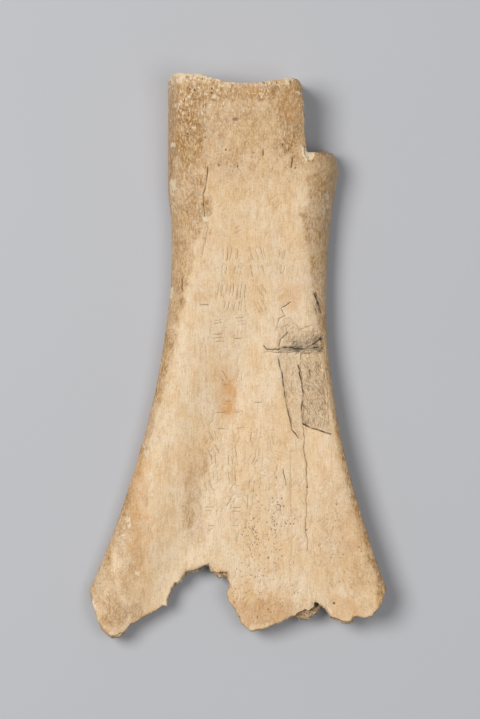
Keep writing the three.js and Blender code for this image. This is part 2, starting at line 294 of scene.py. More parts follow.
def noise(x, y, width, length, seed):
    """Smooth noise from -1 to 1 in patches of the given size in millimetres."""
    table = np.random.RandomState(SEED + seed).uniform(-1, 1, (NOISE_CELLS, NOISE_CELLS))
    u, v = np.asarray(x) / width, np.asarray(y) / length
    i, j = np.floor(u).astype(int), np.floor(v).astype(int)
    s, t = smooth(u - i), smooth(v - j)

    def corner(a, b):
        return table[(i + a) % NOISE_CELLS, (j + b) % NOISE_CELLS]

    return mix(mix(corner(0, 0), corner(1, 0), s), mix(corner(0, 1), corner(1, 1), s), t)


def fractal(x, y, width, length, seed, octaves=3):
    layers = [0.5**k * noise(x, y, width / 2**k, length / 2**k, seed + 97 * k) for k in range(octaves)]
    return sum(layers) / sum(0.5**k for k in range(octaves))


def resampled(path, spacing):
    """Points at an even spacing along a path, its two ends among them."""
    path = np.asarray(path, float)
    run = np.concatenate([[0], np.cumsum(np.hypot(*np.diff(path, axis=0).T))])
    at = np.linspace(0, run[-1], max(2, round(run[-1] / spacing) + 1))
    return np.column_stack([np.interp(at, run, path[:, k]) for k in (0, 1)])


def sideways(path):
    """Unit vectors across a path, towards its right."""
    step = np.gradient(path, axis=0)
    step /= np.hypot(*step.T)[:, None]
    return np.column_stack([step[:, 1], -step[:, 0]])


def ragged(path, spacing, swing, size, seed):
    """The path with fine irregular teeth. Its two ends stay where they are."""
    path = resampled(path, spacing)
    run = np.arange(len(path)) * spacing
    fade = clamp01(np.minimum(run, run[-1] - run) / size)
    return path + sideways(path) * (swing * fade * fractal(run, 0 * run, size, size, seed))[:, None]


def closed(polygon):
    return np.vstack([polygon, polygon[:1]])


def inside(points, polygon):
    x, y = points.T
    within = np.zeros(len(points), bool)
    for (x0, y0), (x1, y1) in zip(polygon, np.roll(polygon, -1, axis=0)):
        if y0 != y1:
            crosses = ((y0 > y) != (y1 > y)) & (x < x0 + (y - y0) * (x1 - x0) / (y1 - y0))
            within ^= crosses
    return within


def distance_to(points, path):
    """Distance from each point to a path."""
    nearest = np.full(len(points), np.inf)
    for a, b in zip(path[:-1], path[1:]):
        step = b - a
        t = clamp01((points - a) @ step / max(step @ step, 1e-12))
        nearest = np.minimum(nearest, np.hypot(*(points - a - t[:, None] * step).T))
    return nearest


def depth_inside(points, polygon):
    """Distance to a polygon's edge, positive inside it."""
    return distance_to(points, closed(polygon)) * np.where(inside(points, polygon), 1, -1)


def rounded(corner, before, after, steps=7):
    """A rounded corner in plan, from one offset of it to the other."""
    t = np.linspace(0, 1, steps)[:, None]
    corner = np.array(corner)
    return (corner + before) * (1 - t) ** 2 + 2 * corner * t * (1 - t) + (corner + after) * t * t


# Outline of the bone in plan, from the foot of the thick border round by the socket end.
Run = namedtuple("Run", "path cut")


def broken_edge():
    """The break from border to border, with fine teeth."""
    path = resampled(plan(BREAK), TRACE_STEP)
    up = up_at(path[:, 1])
    on_bone = (path[:, 0] > left_border(up)) & (path[:, 0] < right_border(up))
    path = path[on_bone]
    for end, border in ((0, left_border), (-1, right_border)):
        path[end, 0] = border(up_at(path[end, 1]))
    return ragged(path, BREAK_STEP, 0.35, 1.3, 3)


def outline_runs():
    broken = broken_edge()
    end, level = y_at(1), y_at(CORNER_UP)
    right = end - SOCKET_SLANT
    socket = np.vstack([
        rounded((-SOCKET_LEFT, end), (0, -SOCKET_ROUND), (SOCKET_ROUND, 0)),
        rounded((CORNER_RIGHT, right), (-SOCKET_ROUND, 0), (0, -SOCKET_ROUND)),
        rounded((CORNER_FOOT_RIGHT, level), (0, CORNER_FILLET), (CORNER_FILLET, 0)),
        [(right_border(CORNER_UP), level)],
    ])

    def border_path(border, from_y, to_y):
        up = np.linspace(up_at(from_y), up_at(to_y), round(abs(to_y - from_y) / OUTLINE_STEP) + 1)
        return np.column_stack([border(up), y_at(up)])

    return [
        Run(border_path(left_border, broken[0, 1], end - SOCKET_ROUND), False),
        Run(ragged(socket, OUTLINE_STEP, 0.4, 3.4, 5), True),
        Run(border_path(right_border, level, broken[-1, 1]), False),
        Run(broken[::-1], True),
    ]


def dish_y(x, z):
    """Where the half socket's surface lies along the bone, or far beyond its end."""
    side = ((x - DISH_CENTRE_X) / DISH_HALF[0]) ** 2 + ((z - DISH_CENTRE_Z) / DISH_HALF[2]) ** 2
    reach = DISH_HALF[1] * np.sqrt(np.maximum(0, 1 - side))
    return np.where(side < 1, y_at(1) + DISH_BEYOND - reach, LENGTH)


runs = outline_runs()
outline = np.vstack([run.path[:-1] for run in runs])
edge_is_cut = np.concatenate([np.full(len(run.path) - 1, run.cut) for run in runs])
vertex_is_cut = edge_is_cut & np.roll(edge_is_cut, 1)
socket_path, broken_path = runs[1].path, runs[3].path
socket_end = socket_path[socket_path[:, 1] > y_at(1) - 2 * SOCKET_ROUND]

# Cracks and flake lines on the rib side, as pixels of the photograph, with half width and depth in
# millimetres and how dark the line is. The darkness along the flakes' edges is partly dirt and partly
# painted shadow of their cliffs.
Line = namedtuple("Line", "path half_width depth dark")
CRACKS = {
    "neck crack": ([(208, 168), (207, 180), (204, 195), (204, 205), (205, 217)], 0.36, 0.35, 1.1),
    "neck crack, foot": ([(206, 222), (208, 230), (205, 243), (202, 258)], 0.2, 0.2, 0.5),
    "cross crack": ([(264, 346), (267, 350), (284, 348), (300, 349), (319, 347)], 0.36, 0.45, 1.2),
    "cross crack, second": ([(266, 352), (280, 353), (296, 352), (310, 354)], 0.24, 0.2, 0.85),
    "cross crack, branch": ([(306, 348), (314, 343), (321, 338)], 0.42, 0.35, 1.3),
    "cross crack, second branch": ([(297, 348), (301, 343), (309, 340)], 0.26, 0.25, 0.9),
    "break, notch": ([(199, 570), (203, 567), (208, 565)], 0.5, 0.5, 1.2),
    "break, tooth": ([(185, 577), (186, 573), (190, 574)], 0.3, 0.3, 1),
    "break, second tooth": ([(175, 587), (175, 583), (178, 583)], 0.3, 0.3, 0.9),
    "break, right foot": ([(331, 617), (338, 619), (345, 622), (351, 621)], 0.32, 0.3, 1.1),
    # Edges of the long and the deep flake: their darkness is partly painted shadow under the cliffs.
    "long flake, left edge, with painted shadow": (
        [(278, 357), (281, 369), (283, 385), (285, 400), (287, 410), (290, 418), (292, 430), (298, 437)],
        0.46, 0.45, 1.25,
    ),
    "deep flake, left edge, with painted shadow": ([(298, 365), (302, 385), (302, 412), (303, 424)], 0.42, 0.4, 1.2),
    "deep flake, foot, with painted shadow": ([(303, 424), (312, 428), (331, 434)], 0.44, 0.45, 1.3),
    "deep flake, inner": ([(324, 372), (327, 393), (329, 425)], 0.3, 0.2, 0.7),
    "long crack": (
        [(303, 426), (305, 438), (304, 452), (307, 466), (306, 478), (307, 487)], 0.25, 0.3, 1,
    ),
    "long crack, foot": (
        [(307, 488), (306, 500), (306, 512), (305, 530), (308, 542), (307, 550)], 0.2, 0.25, 0.7,
    ),
    "short crack": ([(283, 470), (286, 485)], 0.28, 0.3, 1),
    "hook": ([(276, 505), (280, 505), (280, 511)], 0.28, 0.25, 0.9),
    "scratch by the border": ([(314, 294), (317, 302), (321, 313)], 0.5, 0.3, 1),
    "upper flake, first": ([(281, 308), (289, 303)], 0.32, 0.25, 1),
    "upper flake, second": ([(281, 308), (284, 316)], 0.26, 0.2, 0.8),
    "upper flake, third": ([(277, 330), (278, 319), (285, 316)], 0.26, 0.25, 0.85),
    "upper flake, fourth": ([(279, 346), (281, 339), (288, 332)], 0.28, 0.25, 0.95),
    "faint, thin side": ([(335, 510), (338, 521), (341, 532)], 0.18, 0.12, 0.35),
    "faint, middle": ([(291, 455), (290, 490), (292, 525), (291, 560)], 0.16, 0.1, 0.28),
    "slit by the neck": ([(182, 280), (182, 289)], 0.3, 0.3, 1),
    "dash": ([(200, 305), (208, 305)], 0.26, 0.2, 0.9),
    "prong rim": ([(112, 637), (117, 636), (121, 633)], 0.3, 0.25, 0.9),
    "slit under the socket": ([(263, 151), (263, 156)], 0.45, 0.4, 1.1),
    "slit below it": ([(292, 160), (291, 168)], 0.5, 0.4, 1.1),
}

# Places where the upper layer is lost: how their outlines are given, as pixels or as shares, the
# outlines, their depths in millimetres, and the swing, size and seed of their ragged edges.
FLAKES = {
    "ledge": (plan, [
        (291, 621), (297, 613), (301, 611), (305, 609), (308, 611), (311, 609), (314, 607),
        (314, 602), (318, 603), (322, 607), (324, 628), (297, 634),
    ], 3.4, 0.3, 2, 31),
    "second ledge": (
        plan, [(334, 619), (341, 620), (345, 622), (351, 621), (356, 618), (358, 628), (334, 628)],
        1.3, 0.3, 2, 37,
    ),
    "chip": (
        plan, [(209, 572), (219, 573), (224, 572), (227, 572), (229, 584), (211, 584)],
        2.4, 0.4, 2, 32,
    ),
    "deep flake": (across_bone, [
        (0.824, 0.484), (0.83, 0.459), (0.825, 0.406), (0.818, 0.381), (0.886, 0.372),
        (0.953, 0.363), (0.954, 0.42), (0.945, 0.486), (0.95, 0.507), (0.834, 0.509),
    ], 1.1, 0.25, 2.5, 33),
    "long flake": (across_bone, [
        (0.7, 0.5), (0.716, 0.477), (0.742, 0.411), (0.769, 0.371), (0.79, 0.36), (0.812, 0.378),
        (0.822, 0.42), (0.822, 0.484), (0.83, 0.512), (0.72, 0.512),
    ], 0.6, 0.25, 2.5, 34),
    "upper flake": (across_bone, [
        (0.616, 0.512), (0.689, 0.518), (0.72, 0.548), (0.738, 0.569), (0.776, 0.571),
        (0.838, 0.548), (0.9, 0.544), (0.976, 0.551), (0.985, 0.521), (0.985, 0.504),
        (0.833, 0.505),
    ], 0.4, 0.7, 3, 35),
    "corner chip": (
        plan, [(303, 146), (309, 149), (315, 157), (309, 163), (304, 156)],
        1, 0.2, 2, 36,
    ),
}

# Rows of short strokes where the inscription was: the row's height and the places of its bundles
# across, in pixels of the photograph, the most strokes in a bundle, how dark they are and the tilts
# they are drawn from, in degrees from upright.
SLANTED, LYING = (-26, -16, -6, 8, 20, 32), (82, 86, 90)
STROKE_ROWS = {
    "first": (262, (226, 238, 250, 262, 281), 3, 0.85, SLANTED),
    "second": (298, (225, 239, 261), 4, 0.9, SLANTED),
    "third": (330, (219, 239), 3, 0.95, LYING),
    "fourth": (367, (223, 238), 3, 0.75, SLANTED),
    "fifth": (394, (228, 259), 1, 0.75, LYING),
    "sixth": (420, (220, 239), 1, 0.95, LYING),
    "seventh": (444, (214, 234, 257), 3, 0.75, SLANTED),
    "eighth": (468, (215, 233, 254), 3, 0.7, SLANTED),
    "ninth": (494, (210, 229, 250), 2, 0.75, SLANTED),
    "tenth": (518, (210, 236), 3, 0.95, LYING),
}
BUNDLE_RISE = 8
SLANTED_PIXELS, LYING_PIXELS = (8, 12), (6, 8)
STROKE_HALF_WIDTH, STROKE_GAP, STROKE_DEPTH = 0.17, (1.5, 2), (0.08, 0.14)

# Seeded scratches: centre and spread in pixels, how many, length in pixels, tilt and its spread in
# degrees from upright, and darkness.
SCRATCHES = {
    "cross crack": (298, 349, 18, 2.5, 60, 12, 84, 14, 0.9),
    "cross crack, right": (307, 344, 15, 8, 130, 9, 50, 50, 0.95),
    "deep flake": (315, 394, 11, 32, 210, 6, -15, 26, 0.75),
    "long flake": (291, 372, 8, 22, 24, 9, -12, 30, 0.5),
    "upper flake": (301, 334, 17, 11, 70, 8, 40, 45, 0.55),
    "scratched border": (317, 303, 3, 9, 16, 9, -20, 20, 1.2),
    "lower blade": (262, 470, 44, 44, 60, 7, 30, 80, 0.5),
    "foot of the blade": (295, 560, 60, 46, 60, 6, 10, 60, 0.5),
    "valley": (214, 470, 8, 60, 34, 8, 30, 30, 0.5),
    "neck": (250, 215, 40, 44, 40, 8, 10, 60, 0.35),
    "socket": (240, 125, 60, 34, 60, 7, 60, 60, 0.45),
    "thick side": (140, 510, 22, 90, 50, 8, 18, 40, 0.4),
    "thin side": (345, 540, 18, 60, 34, 7, -10, 40, 0.4),
}

# Pores: centre and spread in pixels, how many, and their radius in millimetres.
PORES = {
    "socket, centre": (250, 160, 28, 16, 16, 0.36),
    "socket, left": (192, 130, 12, 28, 22, 0.35),
    "rim, right": (278, 86, 16, 3, 30, 0.34),
    "rim, left": (200, 90, 18, 6, 14, 0.4),
    "lower blade, middle": (253, 532, 8, 30, 100, 0.31),
    "lower blade, right": (275, 528, 7, 34, 95, 0.31),
    "lower blade, foot": (266, 585, 24, 28, 95, 0.3),
    "middle prong, edge": (240, 597, 9, 22, 50, 0.27),
    "lower blade, cluster": (289, 518, 4, 9, 18, 0.32),
    "thin side": (340, 560, 18, 40, 26, 0.3),
}
PORE_CROWDING = 1.6
Pit = namedtuple("Pit", "x y half_x half_y depth")
PITS = {
    "nutrient hole": (235, 121, 1.6, 1, 0.2),
    "long crack, dot": (307, 487, 0.5, 0.7, 0.5),
    "long crack, second dot": (306, 530, 0.6, 0.6, 0.3),
    "branch spot": (321, 339, 0.8, 0.9, 0.5),
    "ledge hole": (317, 605, 1.2, 1.4, 1.6),
    "thin side spot": (334, 603, 0.7, 0.7, 0.5),
    "slit, third": (282, 146, 0.4, 0.8, 0.5),
    "slit, fourth": (295, 169, 0.5, 0.5, 0.4),
    "slit, fifth": (219, 166, 0.4, 0.9, 0.3),
    "slit, sixth": (226, 151, 0.5, 0.5, 0.5),
}

# How square each stain and each patch of painted shade is, and how far it reaches, fades and wanders, in
# half sizes.
SQUARENESS = 3
STAIN_REACH, STAIN_FADE, STAIN_SWING = 1.3, 0.65, 0.55

# The brown bands along the thick and the thin border, partly the bone's brown and partly painted shade
# where the borders roll away from the light: width in millimetres and strength, up the bone. Then the
# stains, two of them painted shade in the valley: centre and half size in pixels, and strength.
BROWN_AND_SHADE_BANDS = [
    (
        [(0, 4.5), (0.4, 4), (0.5, 5.5), (0.64, 8.5), (0.7, 14.5), (0.78, 18.5), (0.85, 18), (1, 16)],
        [(0, 0.8), (0.4, 0.75), (0.55, 0.8), (0.7, 0.72), (0.85, 0.78), (1, 0.7)],
    ),
    (
        [(0.05, 4.5), (0.14, 4), (0.25, 4), (0.5, 3.5), (0.62, 7), (0.72, 12), (0.82, 15)],
        [(0.05, 0.85), (0.16, 0.85), (0.3, 0.8), (0.5, 0.75), (0.7, 0.72), (0.85, 0.7)],
    ),
]
BROWN_STAINS_AND_SHADE = {
    "mottled, upper left": (187, 128, 18, 44, 0.85),
    "upper left edge": (172, 140, 4, 60, 0.85),
    "socket band": (235, 94, 66, 9, 0.75),
    "corner zone": (292, 118, 16, 42, 0.75),
    "prong tip": (114, 612, 12, 14, 0.65),
    "prong edge": (136, 614, 6, 12, 0.45),
    "right tip": (381, 584, 5, 26, 0.8),
    "tan by the tip": (364, 556, 12, 40, 0.3),
    "chip": (220, 577, 9, 6, 0.7),
    "ledge": (306, 612, 17, 9, 0.1),
    "valley streak": (205, 464, 2, 9, 0.4),
    # The next two are painted shade on the valley's left wall, over a brown smudge.
    "valley": (194, 500, 9, 50, 0.28),
    "valley, painted shade": (188, 512, 7, 14, 0.55),
    "thick side, foot": (106, 592, 12, 30, 0.35),
    "thick side, speckled": (130, 535, 12, 62, 0.42),
    "foot, tan": (262, 612, 32, 12, 0.42),
    "lower right": (335, 530, 18, 50, 0.16),
}
CHALK_STAINS = {
    "rim, bright": (188, 79, 14, 3, 0.6),
    "crust, upper": (173, 187, 4, 8, 0.8),
    "crust, second": (174, 208, 3, 6, 0.7),
    "crust, dot": (173, 145, 2, 2, 1.2),
    "crust, thin side": (326, 203, 5, 14, 0.7),
    "crack patch": (204, 220, 3, 3, 0.8),
    "fleck, high": (152, 486, 3, 15, 0.5),
    "fleck": (128, 523, 2.5, 7, 0.9),
    "fleck, lower": (123, 538, 2, 5, 0.85),
    "fleck, foot": (114, 566, 3, 12, 0.55),
    "fleck by the notch": (138, 574, 3, 4, 0.7),
    "foot, upper": (106, 594, 5, 3, 0.7),
    "foot, edge": (94, 608, 2.5, 6, 0.8),
    "edge chip, upper": (170, 294, 3, 7, 1.2),
    "edge chip, middle": (158, 366, 3, 6, 1),
    "edge chip, lower": (122, 491, 3, 5, 1),
    "thin edge": (361, 508, 2.5, 8, 0.6),
    "tip flecks": (384, 572, 2.5, 5, 0.6),
    "inner corner": (308, 156, 6, 7, 1.6),
    "shoulder rim": (322, 156, 14, 2, 0.5),
    "foot rim": (115, 633, 8, 2.5, 0.8),
}
ORANGE_STAINS = {
    "wide": (225, 384, 12, 20, 0.35),
    "core": (227, 396, 9, 19, 0.75),
    "core, foot": (227, 408, 8, 9, 0.95),
    "by the neck": (291, 293, 12, 15, 0.4),
    "thick side, spot": (200, 297, 8, 5, 0.4),
    "valley, spot": (205, 440, 3, 6, 0.5),
    "lower right": (350, 535, 14, 30, 0.3),
    "socket marks": (250, 94, 8, 3, 0.5),
    "corner": (292, 104, 8, 20, 0.3),
    "band": (138, 515, 10, 60, 0.4),
    "foot": (262, 608, 32, 16, 0.42),
    "right foot": (345, 608, 14, 10, 0.4),
}
SOOT_STAINS = {
    "cross crack": (300, 349, 16, 2, 0.35),
    "beside it": (311, 346, 11, 4, 0.3),
    "branch": (320, 338, 5, 4, 0.5),
    "scratch": (318, 305, 4, 8, 0.2),
    "upper flake": (303, 341, 14, 6, 0.12),
    "ledge": (316, 607, 6, 4, 0.4),
    "notch": (196, 572, 16, 4, 0.35),
}


def stains_and_shade(points, stains, seed):
    """Strength of a kind of stain at each point, with ragged edges. Among the brown ones are patches of
    painted shade.
    """
    x, y = points.T
    total = np.zeros(len(points))
    ragged_edge = STAIN_SWING * fractal(x, y, 2.6, 4.5, seed)
    for *centre, half_x, half_y, strength in stains.values():
        centre_x, centre_y = plan([centre])[0]
        u = abs(x - centre_x) / (half_x * PIXEL)
        v = abs(y - centre_y) / (half_y * PIXEL)
        reach = (u**SQUARENESS + v**SQUARENESS) ** (1 / SQUARENESS)
        total = np.maximum(total, strength * smooth((STAIN_REACH + ragged_edge - reach) / STAIN_FADE))
    return total


def leaning(degrees):
    """Unit vectors along and across a line that leans this far from upright."""
    lean = np.radians(degrees)
    return np.array([np.sin(lean), np.cos(lean)]), np.array([np.cos(lean), -np.sin(lean)])


def short_line(middle, lean, half_length, bend):
    along_it, across = leaning(lean)
    half = along_it * half_length
    return np.array([middle - half, middle + across * bend, middle + half])


def stroke_paths():
    """Two bundles of parallel strokes at each place of each row, one above the other."""
    draw = np.random.RandomState(SEED + 1)
    paths = []
    for height, places, most, dark, tilts in STROKE_ROWS.values():
        for place in places:
            tilt = draw.choice(tilts)
            for lift in (-BUNDLE_RISE, BUNDLE_RISE):
                count = draw.randint(1, most + 1)
                length = draw.uniform(*(LYING_PIXELS if tilt in LYING else SLANTED_PIXELS))
                step = leaning(tilt)[1] * draw.uniform(*STROKE_GAP)
                centre = plan([(place + draw.uniform(-1.5, 1.5), height + lift)])[0]
                for k in range(count):
                    middle = centre + step * (k - (count - 1) / 2) + draw.uniform(-0.5, 0.5, 2)
                    half = length * PIXEL * draw.uniform(0.35, 0.5)
                    path = short_line(middle, tilt + draw.uniform(-6, 6), half, draw.uniform(-0.15, 0.15))
                    shade = dark * draw.uniform(0.6, 1.2)
                    paths.append(Line(path, STROKE_HALF_WIDTH, draw.uniform(*STROKE_DEPTH), shade))
    return paths


def scratch_paths():
    """Seeded short scratches round the places named above."""
    draw = np.random.RandomState(SEED + 4)
    paths = []
    for x, y, spread_x, spread_y, count, length, tilt, turn, dark in SCRATCHES.values():
        for _ in range(count):
            shift = draw.uniform(-1, 1, 2) * (spread_x, spread_y)
            middle = plan([(x + shift[0], y + shift[1])])[0]
            lean = tilt + draw.uniform(-1, 1) * turn
            half = length * PIXEL * draw.uniform(0.25, 0.5)
            path = short_line(middle, lean, half, draw.uniform(-0.12, 0.12))
            shade = dark * draw.uniform(0.5, 1)
            paths.append(Line(path, draw.uniform(0.15, 0.2), 0.1 * dark + 0.05, shade))
    return paths


def crack_paths():
    return [
        Line(ragged(plan(path), LINE_STEP, 0.45, 2.6, 20 + k), *values)
        for k, (path, *values) in enumerate(CRACKS.values())
    ]


def all_pits():
    """The named pits and the seeded pores, in plan and in millimetres."""
    draw = np.random.RandomState(SEED + 2)
    found = [Pit(*plan([(x, y)])[0], *values) for x, y, *values in PITS.values()]
    for x, y, spread_x, spread_y, count, radius in PORES.values():
        spread = np.array([spread_x, spread_y]) / PORE_CROWDING
        for _ in range(count):
            place = plan([draw.normal((x, y), spread)])[0]
            size = radius * draw.uniform(0.5, 1.1)
            found.append(Pit(*place, size, size * draw.uniform(0.8, 1.9), size * draw.uniform(0.4, 1.1)))
    return found


lines = crack_paths() + stroke_paths() + scratch_paths()
pits = all_pits()
flakes = [
    (ragged(closed(place(path)), EDGE_STEP, swing, size, seed), depth)
    for place, path, depth, swing, size, seed in FLAKES.values()
]

# How wide and deep the worn edges are, in millimetres, how far a line's and a pore's slopes reach in
# half widths, how far round them to look, and how deep a flake is when it shows the spongy core.
RIM_WIDTH, RIM_STEP, RIM_DROP = 3.4, 0.3, 0.9
BEVEL_WIDTH, BEVEL_DROP, BREAK_DROP = 1.6, 0.7, 1.7
LINE_REACH, PORE_REACH = 1.15, 1.25
MARK_MARGIN, PIT_MARGIN = 1, 3
TO_THE_CORE = 2

# Places where the break is bruised: centre and reach in pixels, how much wider its slope is there in
# millimetres, and how spongy.
BRUISED = {
    "prong": (111, 632, 8, 1.1, 0.1),
    "notch": (192, 572, 20, 1.4, 0.9),
    "notch, right": (218, 577, 9, 1.6, 0.6),
    "foot": (262, 628, 30, 0.2, 0.1),
    "ledge": (306, 612, 18, 0.8, 0.8),
    "right foot": (346, 620, 10, 1.2, 0.4),
}


def fracture(points):
    """The slope of the break, 1 at the edge and 0 where the face begins, and how spongy it is."""
    x, y = points.T
    width = 0.3 + 0.3 * clamp01(noise(x, y, 5, 5, 44)) + 0.2 * noise(x, y, 1.6, 1.6, 45)
    spongy = 0.1 + 0 * x
    for *centre, reach, extra, open_here in BRUISED.values():
        centre_x, centre_y = plan([centre])[0]
        near = bump(np.hypot(x - centre_x, y - centre_y), 0, reach * PIXEL)
        width, spongy = width + extra * near, np.maximum(spongy, open_here * near)
    return clamp01(1 - distance_to(points, broken_path) / np.maximum(width, 0.2)), spongy


def crust(points):
    """Pale flaky crust at the socket end and along the thick border, 0 or 1 with soft edges."""
    x, y = points.T
    up = up_at(y)
    pattern = fractal(x, y, 2.6, 1.9, 46) + 0.35 * noise(x, y, 1, 1, 47)
    at_end = rim(points)
    wane = 0.22 * smooth((x + 15) / 20)
    end = smooth((pattern + 0.6 * at_end - 0.3 - wane) * 6) * smooth(at_end * 3 + 1.3)
    left = insets(x, up)[0] / 9
    flecks = smooth((fractal(x, y, 1.3, 2.8, 48) - 0.24) * 8)
    upper = flecks * rise((0.8, 0.9), up) * (1 - 0.5 * smooth(left / 3))
    veins = smooth((0.13 - abs(fractal(x + 0.6 * y, y - 0.6 * x, 2, 3.4, 53))) * 14)
    veins *= rise((0.88, 0.96), up) * smooth(noise(x, y, 9, 6, 54) * 2 + 1 - x / 60)
    border = flecks * bump(left, 0.45, 0.7) * (0.5 + 0.5 * noise(x, y, 12, 22, 49))
    return max_of([end, 0.5 * upper, 0.35 * border, 0.65 * veins])


def rim(points):
    """How far into the worn band at the socket end a point lies: 1 at the end, 0 outside it."""
    width = RIM_WIDTH * (1 + 0.45 * fractal(points[:, 0], 0 * points[:, 0], 11, 11, 41))
    return 1 - distance_to(points, socket_end) / width


def roughness(points):
    """How rough the rib side is, 0 on the polished middle."""
    x, y = points.T
    up = up_at(y)
    left, right = insets(x, up)
    left, right = smooth(1 - left / 16), smooth(1 - right / 9)
    mottled = stains_and_shade(points, {"mottled": BROWN_STAINS_AND_SHADE["mottled, upper left"]}, 50)
    flaked = max_of([smooth(depth_inside(points, polygon) + 0.5) for polygon, _ in flakes])
    rough = 0.5 * left + 0.4 * right + mottled + 1.3 * flaked + 1.2 * smooth(3 * rim(points))
    return np.clip(rough, 0, 1.6)


def lost_layers(points):
    """Depths of the flakes at points in plan, and how spongy and how scraped their floors are."""
    x, y = points.T
    lost, spongy, scraped = np.zeros((3, len(points)))
    for k, (polygon, depth) in enumerate(flakes):
        within = smooth(depth_inside(points, polygon) / 0.35 + 0.4)
        lost = np.maximum(lost, within * (depth * (1 + 0.22 * fractal(x, y, 2.5, 5, 70 + k))))
        if depth > TO_THE_CORE:
            spongy = np.maximum(spongy, within)
        else:
            scraped = np.maximum(scraped, within * (0.15 + depth / 1.6))
    return lost, spongy, scraped


def marks(points):
    """Depths and darkness of the lines and pits at points in plan."""
    x, y = points.T
    cut, dark = np.zeros((2, len(points)))
    for line in lines:
        low, high = line.path.min(0) - MARK_MARGIN, line.path.max(0) + MARK_MARGIN
        near = np.flatnonzero(((points > low) & (points < high)).all(1))
        groove = clamp01(1 - distance_to(points[near], line.path) / (line.half_width * LINE_REACH))
        broken = clamp01(0.78 + 0.6 * noise(x[near], y[near], 1.6, 2.2, 51))
        cut[near] = np.maximum(cut[near], line.depth * groove)
        dark[near] = np.maximum(dark[near], line.dark * broken * smooth(groove * 1.4))
    for pit in pits:
        near = np.flatnonzero((abs(x - pit.x) < PIT_MARGIN) & (abs(y - pit.y) < PIT_MARGIN))
        reach = np.hypot((x[near] - pit.x) / pit.half_x, (y[near] - pit.y) / pit.half_y)
        hole = smooth(1 - reach / PORE_REACH)
        cut[near] = np.maximum(cut[near], pit.depth * hole)
        dark[near] = np.maximum(dark[near], min(0.85, 0.42 + pit.depth) * smooth(hole * 1.6))
    return cut, dark


def front(points):
    """Heights of the rib side and the strengths of its finish at points in plan."""
    x, y = points.T
    up = up_at(y)
    top, back = sides(x, up)
    solid = smooth((top - back) / THIN)
    lost, spongy, scraped = lost_layers(points)
    slope, bruised = fracture(points)
    cut, dark = marks(points)
    crusted = crust(points)

    # Gentle undulation along the bone, and a finer grain where it is rough.
    relief = 0.2 * fractal(x, y, 9, 24, 60) + 0.06 * fractal(x, y, 2, 5, 61)
    relief += roughness(points) * (0.2 * fractal(x, y, 2.2, 4.5, 62) + 0.1 * noise(x, y, 0.9, 1.3, 63))
    relief += 0.22 * crusted

    # The socket end's worn band and the softened edges of every cut.
    band = rim(points)
    worn = RIM_DROP * smooth(band) ** 1.5 + RIM_STEP * smooth(band * 6)
    bevel = BREAK_DROP * slope * (1 + 0.3 * noise(x, y, 1.5, 1.5, 64))
    bevel += BEVEL_DROP * clamp01(1 - distance_to(points, socket_path) / BEVEL_WIDTH) ** 2
    z = top - solid * (lost + worn + bevel + cut) + solid * relief

    # Brown bands along the borders, partly painted shade of their roll, and a brown socket end, in torn
    # patches.
    patches = smooth(0.5 + 0.9 * fractal(x, y, 4, 6.5, 65))
    torn = 1 + 0.4 * fractal(x, y, 2.2, 5, 82)
    bands = [
        along(strength, up) * (0.6 + 0.4 * patches) * smooth((along(width, up) * torn - inset) / 1.5)
        for inset, (width, strength) in zip(insets(x, up), BROWN_AND_SHADE_BANDS)
    ]
    upper = 0.55 * rise((0.76, 0.88), up) * (0.45 + 0.55 * patches)
    rimmed = 0.7 * smooth(1 - distance_to(points, broken_path) / 1.8)
    rimmed *= smooth(0.7 + noise(x, y, 6, 6, 83))
    return z, {
        "brown": max_of([stains_and_shade(points, BROWN_STAINS_AND_SHADE, 66), upper, rimmed, *bands]),
        "chalk": max_of([
            stains_and_shade(points, CHALK_STAINS, 67) * (0.7 + 0.9 * fractal(x, y, 1.2, 2, 68)),
            0.9 * crusted,
            0.4 * smooth(slope * 3) * smooth(noise(x, y, 3, 3, 69) * 2),
        ]),
        "orange": stains_and_shade(points, ORANGE_STAINS, 80),
        "soot": stains_and_shade(points, SOOT_STAINS, 81),
        "spongy": np.maximum(spongy, smooth(slope * 4) * bruised),
        "scraped": scraped,
        "line": dark,
    }


def hollow_list():
    """Centres and half sizes of the hollows on the back."""
    found = []
    for across, inwards, ups in (THICK_COLUMN, THIN_COLUMN):
        for up in ups:
            x, y = across_bone([(across, up)])[0]
            for at, half in ((x, GROOVE_HALF), (x + inwards * PIT_OFFSET, PIT_HALF)):
                found.append((np.array([at, y, sides(at, up)[1]]), half))
    return found


hollows = hollow_list()

# How deep the saw went before it met the spongy core, and how that fades in, in millimetres.
COMPACT, COMPACT_FADE = 0.8, 1.3


def saw_height(x, y):
    """How high the sawn strip along the spine lies, 0 beside it."""
    up = up_at(y)
    on_strip = (abs(x - spine_x(up)) < 2 * SPINE_WIDTH) & (up < SPINE_END_UP)
    return np.where(on_strip, np.maximum(0, (y - y_at(SAW_START_UP)) * SAW_RISE), 0)


